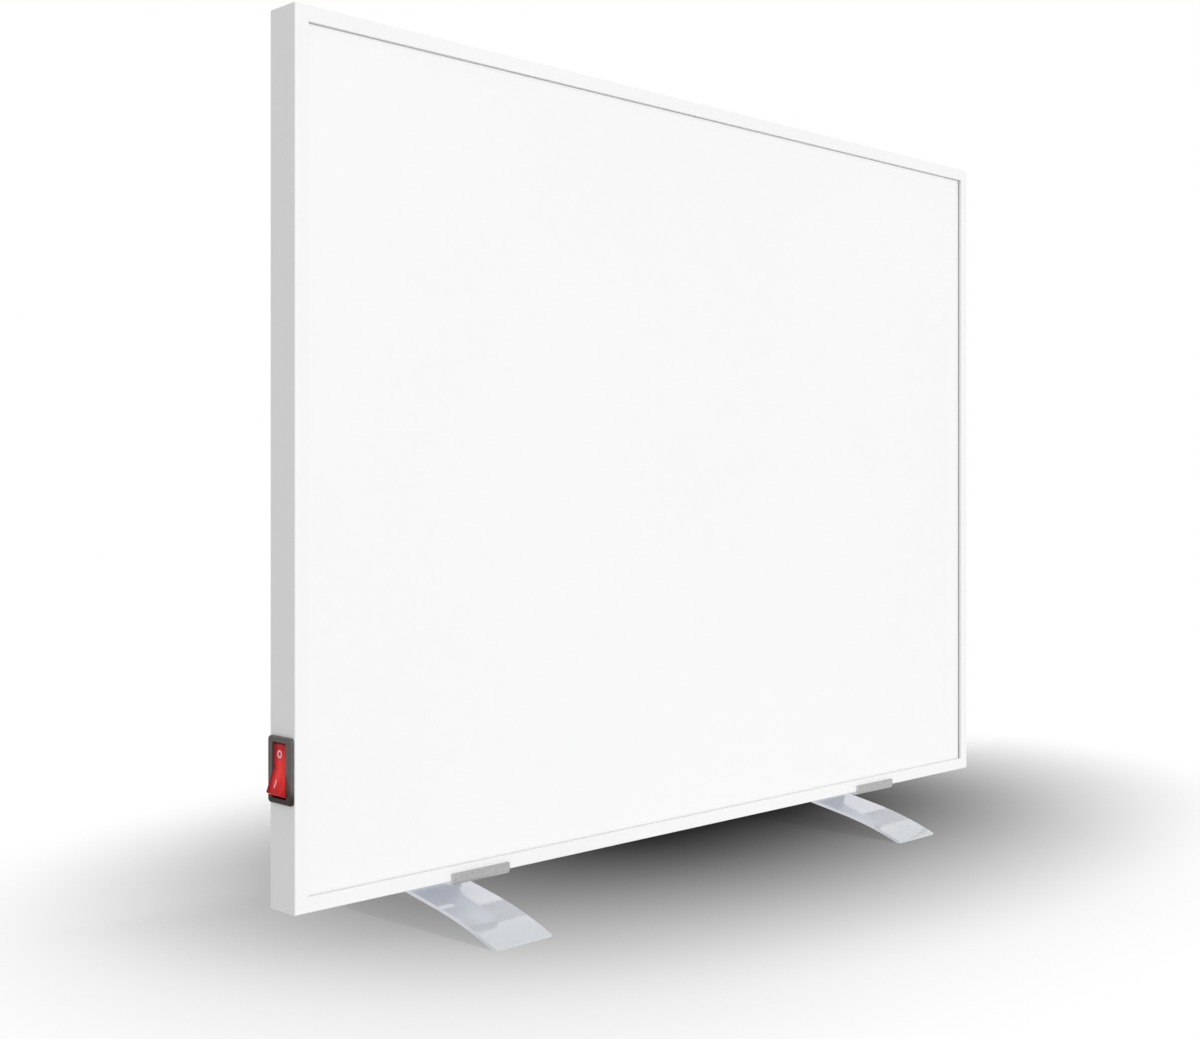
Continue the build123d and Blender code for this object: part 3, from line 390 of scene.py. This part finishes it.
def finish_rocker():
    material, tree, shader = start_material("red_rocker_moulding", specular=0.04)
    effect = use_group(tree, grain_group, Grain_Scale=1400.0, Patch_Scale=170.0)
    axes = object_axes(tree)
    # Painted light and shade: the rocker's red is lit in its middle and shaded towards its edges
    across = ramp_between(tree, axes["Y"], rocker_high.y - rocker_rim, rocker_middle.y)
    front = ramp_between(tree, axes["Y"], rocker_middle.y, rocker_low.y, 1.0, lit_front)
    down = ramp_between(tree, axes["Z"], rocker_high.z, rocker_high.z - rocker_fade, lit_top, 1.0)
    up = ramp_between(tree, axes["Z"], rocker_low.z, rocker_low.z + rocker_fade, lit_foot, 1.0)
    glow = calculate(tree, "MULTIPLY", across, calculate(tree, "MULTIPLY", down, up))
    glow = calculate(tree, "MULTIPLY", glow, front)
    deep = blend_colours(tree, effect.outputs["Patches"], *rocker_painted_shade)
    lit = blend_colours(tree, effect.outputs["Patches"], *rocker_painted_light)
    colour = blend_colours(tree, glow, deep, lit)
    join(tree, colour, shader.inputs["Base Color"])
    # Painted glow: the painted light and shade also go to the emission
    join(tree, colour, shader.inputs["Emission Color"])
    shader.inputs["Emission Strength"].default_value = painted_glow_strength
    shader.inputs["Subsurface Weight"].default_value = red_share
    shader.inputs["Subsurface Radius"].default_value = red_spread
    shader.inputs["Subsurface Scale"].default_value = red_depth
    set_roughness(tree, shader, effect.outputs["Grain"], *rocker_roughness)
    cover_node("rocker", material)
    cover_node("rocker_marks", grained(
        "mark_print", light=(0.98, 0.62, 0.65), dark=(0.95, 0.56, 0.59),
        roughness=0.4, change=0.05, grain=2500, patches=90, depth=0.00001,
    ))


def make_lamp_glass():
    material, tree, shader = start_material("lamp_glass")
    shader.inputs["Base Color"].default_value = glass_tone
    shader.inputs["Transmission Weight"].default_value = glass_clear
    effect = use_group(tree, grain_group, Grain_Scale=900.0, Patch_Scale=120.0)
    set_roughness(tree, shader, effect.outputs["Grain"], *glass_roughness)
    return material


def finish_switch_inside():
    cover_node("switch_lamp", make_lamp_glass())
    cover_node("plunger", grained(
        "plunger_nylon", light=(0.82, 0.82, 0.78), dark=(0.76, 0.76, 0.72),
        roughness=0.45, change=0.05, grain=1500, patches=60, depth=0.00002,
    ))
    cover_node("plunger_spring", brushed(
        "spring_wire", light=(0.62, 0.62, 0.63), dark=(0.45, 0.45, 0.46),
        roughness=0.3, change=0.06, across=900, along=300, depth=0.00001,
    ))


# Back, gland and fasteners
def finish_fasteners():
    zinc = brushed(
        "zinc_plate", light=(0.66, 0.67, 0.69), dark=(0.52, 0.53, 0.55),
        roughness=0.32, change=0.08, across=700, along=300, depth=0.00002,
    )
    for node in ("cover_screws", "threaded_inserts", "terminal_screws"):
        cover_node(node, zinc)
    gland = grained(
        "gland_nylon", light=(0.44, 0.45, 0.46), dark=(0.38, 0.39, 0.40),
        roughness=0.48, change=0.06, grain=1400, patches=30, depth=0.00006,
    )
    for node in ("gland_body", "gland_cap", "gland_lock_nut"):
        cover_node(node, gland)


# Inside: brass and copper, foil and keys, boards and mouldings, leads
def finish_inside_metals():
    brass = brushed(
        "contact_brass", light=(0.78, 0.60, 0.28), dark=(0.62, 0.45, 0.19),
        roughness=0.3, change=0.07, across=800, along=120, depth=0.00002,
    )
    for node in ("switch_blades", "contact_bar", "receptacles", "earth_stud", "earth_ring", "earth_nut"):
        cover_node(node, brass)
    cover_node("electrode_strips", brushed(
        "copper_strip", light=(0.76, 0.36, 0.20), dark=(0.60, 0.26, 0.14),
        roughness=0.34, change=0.08, across=60, along=900, depth=0.00002,
    ))
    cover_node("corner_keys", brushed(
        "key_aluminium", light=(0.74, 0.75, 0.76), dark=(0.62, 0.63, 0.64),
        roughness=0.36, change=0.08, across=500, along=120, depth=0.00003,
    ))
    cover_node("reflector_foil", brushed(
        "bright_foil", light=(0.84, 0.85, 0.86), dark=(0.76, 0.77, 0.78),
        roughness=0.14, change=0.05, across=40, along=40, depth=0.00006,
    ))


def finish_boards_and_blocks():
    cover_node("heating_board", grained(
        "board_laminate", light=(0.16, 0.14, 0.06), dark=(0.11, 0.10, 0.04),
        roughness=0.4, change=0.08, grain=700, patches=40, depth=0.00004,
    ))
    cover_node("insulation_board", grained(
        "fibre_board", light=(0.62, 0.54, 0.32), dark=(0.52, 0.45, 0.25),
        roughness=0.9, change=0.05, grain=500, patches=30, depth=0.0003,
    ))
    cover_node("terminal_block", grained(
        "block_nylon", light=(0.76, 0.74, 0.66), dark=(0.70, 0.68, 0.60),
        roughness=0.5, change=0.06, grain=1200, patches=40, depth=0.00004,
    ))
    cover_node("thermal_cutout", grained(
        "cutout_moulding", light=(0.035, 0.032, 0.030), dark=(0.025, 0.022, 0.020),
        roughness=0.35, change=0.06, grain=1500, patches=60, depth=0.00004,
    ))


def finish_leads():
    leads = {
        "brown_lead": ((0.13, 0.05, 0.025), ("lead_live", "lead_switched", "lead_heater")),
        "blue_lead": ((0.03, 0.10, 0.42), ("lead_neutral", "lead_lamp")),
        "green_lead": ((0.16, 0.34, 0.03), ("lead_earth",)),
    }
    for name, (colour, nodes) in leads.items():
        sleeve = grained(
            name, light=colour, dark=tuple(lead_shade * part for part in colour),
            roughness=0.38, change=0.05, grain=1500, patches=60, depth=0.00003,
        )
        for node in nodes:
            cover_node(node, sleeve)


# Studio floor: white where it is seen, with a soft painted shade, and a plain pale tone for the light that
# it gives
def soft_shade(tree, axes, left, right, back, squash, reach, tone):
    """A tone that rises to white away from a line along X, squashed along Y, and the distance from it."""
    nearest = calculate(tree, "MINIMUM", calculate(tree, "MAXIMUM", axes["X"], left), right)
    aside = calculate(tree, "SUBTRACT", axes["X"], nearest)
    behind = calculate(tree, "MULTIPLY", calculate(tree, "SUBTRACT", axes["Y"], back), squash)
    squared = calculate(tree, "ADD", calculate(tree, "POWER", aside, 2), calculate(tree, "POWER", behind, 2))
    distance = calculate(tree, "SQRT", squared)
    return ramp_between(tree, distance, 0.0, reach, tone, 1.0), distance


def lean_to_key(tree, shader, camera):
    """Turn the floor's shading to the key where the camera sees it, so that the feet's shadows show."""
    lean = add_node(tree, "ShaderNodeCombineXYZ")
    join(tree, calculate(tree, "MULTIPLY", camera, -key_direction.x), lean.inputs["X"])
    join(tree, calculate(tree, "MULTIPLY", camera, -key_direction.y), lean.inputs["Y"])
    lean.inputs["Z"].default_value = -key_direction.z
    facing = add_node(tree, "ShaderNodeVectorMath", operation="NORMALIZE")
    join(tree, lean.outputs[0], facing.inputs[0])
    join(tree, facing.outputs[0], shader.inputs["Normal"])


def plain_share(tree, axes, distance, mirrored):
    """How much of the floor's white is its own and takes no cast shadow: all of it far from the feet."""
    least = 1.0 - shadow_share
    reach = deep_shade["reach"]
    aside = ramp_between(tree, distance, shadow_open * reach, reach, least, 1.0)
    past = ramp_between(tree, axes["Y"], shadow_end, shadow_end + shadow_fade, least, 1.0)
    return calculate(tree, "MAXIMUM", calculate(tree, "MAXIMUM", aside, past), mirrored)


def make_floor_white():
    material = bpy.data.materials.new("studio_floor")
    material.use_nodes = True
    tree = material.node_tree
    shader = tree.nodes["Principled BSDF"]
    shader.inputs["Roughness"].default_value = floor_roughness
    shader.inputs["Specular IOR Level"].default_value = 0.0
    axes = object_axes(tree)
    deep, distance = soft_shade(tree, axes, **deep_shade)
    wide, _ = soft_shade(tree, axes, **wide_shade)
    # Painted shade on the floor, from the two soft shades
    shade = calculate(tree, "MULTIPLY", deep, wide)
    shaded = blend_colours(tree, shade, (0.0, 0.0, 0.0), (1.0, 1.0, 1.0))
    seen = add_node(tree, "ShaderNodeLightPath").outputs
    camera = seen["Is Camera Ray"]
    mirrored = calculate(tree, "MAXIMUM", seen["Is Glossy Ray"], seen["Is Transmission Ray"])
    given_back = (floor_tone, floor_tone, floor_tone)
    join(tree, blend_colours(tree, camera, given_back, shaded), shader.inputs["Base Color"])
    lean_to_key(tree, shader, camera)
    white = add_node(tree, "ShaderNodeEmission")
    join(tree, blend_colours(tree, mirrored, shaded, (1.0, 1.0, 1.0)), white.inputs["Color"])
    plain = plain_share(tree, axes, distance, mirrored)
    # The emission makes up the light that the floor's shader lacks where no shadow falls
    lit = calculate(tree, "MULTIPLY", calculate(tree, "SUBTRACT", 1.0, plain), open_light)
    made_up = calculate(tree, "DIVIDE", calculate(tree, "SUBTRACT", 1.0, lit), plain)
    join(tree, made_up, white.inputs["Strength"])
    share = calculate(tree, "MULTIPLY", calculate(tree, "MAXIMUM", camera, mirrored), plain)
    show_mixed(tree, share, shader, white, tree.nodes["Material Output"])
    return material


def make_floor():
    bpy.ops.mesh.primitive_plane_add(size=2 * floor_half, location=(0, 0, 0))
    floor = bpy.context.object
    floor.name = "studio_floor"
    floor.data.materials.append(make_floor_white())


def make_sky():
    """Even studio light from all round, seen as white by the camera and in reflections."""
    world = bpy.data.worlds.new("studio_sky")
    bpy.context.scene.world = world
    world.use_nodes = True
    tree = world.node_tree
    tree.nodes.clear()
    seen = add_node(tree, "ShaderNodeLightPath").outputs
    looked_at = calculate(tree, "MAXIMUM", seen["Is Camera Ray"], seen["Is Glossy Ray"])
    looked_at = calculate(tree, "MAXIMUM", looked_at, seen["Is Transmission Ray"])
    light = add_node(tree, "ShaderNodeBackground")
    white = add_node(tree, "ShaderNodeBackground")
    for background, strength in ((light, sky_strength), (white, 1.0)):
        background.inputs["Color"].default_value = (1.0, 1.0, 1.0, 1.0)
        background.inputs["Strength"].default_value = strength
    show_mixed(tree, looked_at, light, white, add_node(tree, "ShaderNodeOutputWorld"))


def put_in_scene(name, data):
    holder = bpy.data.objects.new(name, data)
    bpy.context.scene.collection.objects.link(holder)
    return holder


def make_key_light():
    """A low, narrow key from the front, so that each foot draws a clear shadow on the floor."""
    lamp = bpy.data.lights.new("key_light", "SUN")
    lamp.energy = key_strength
    lamp.angle = key_spread
    holder = put_in_scene("key_light", lamp)
    holder.rotation_euler = key_direction.to_track_quat("-Z", "Y").to_euler()


def make_camera():
    lens = bpy.data.cameras.new("photo_camera")
    lens.lens = camera_lens
    lens.sensor_width = sensor_width
    lens.sensor_fit = "HORIZONTAL"
    lens.shift_y = horizon_rise
    lens.clip_start = nearest_seen
    holder = put_in_scene("photo_camera", lens)
    holder.location = camera_place
    holder.rotation_euler = (math.radians(90), 0, camera_turn)
    bpy.context.scene.camera = holder


finish_frame_and_cover()
finish_seals()
finish_feet()
finish_housing()
finish_rocker()
finish_switch_inside()
finish_fasteners()
finish_inside_metals()
finish_boards_and_blocks()
finish_leads()
make_floor()
make_sky()
make_key_light()
make_camera()
bpy.context.scene.view_settings.view_transform = "Standard"
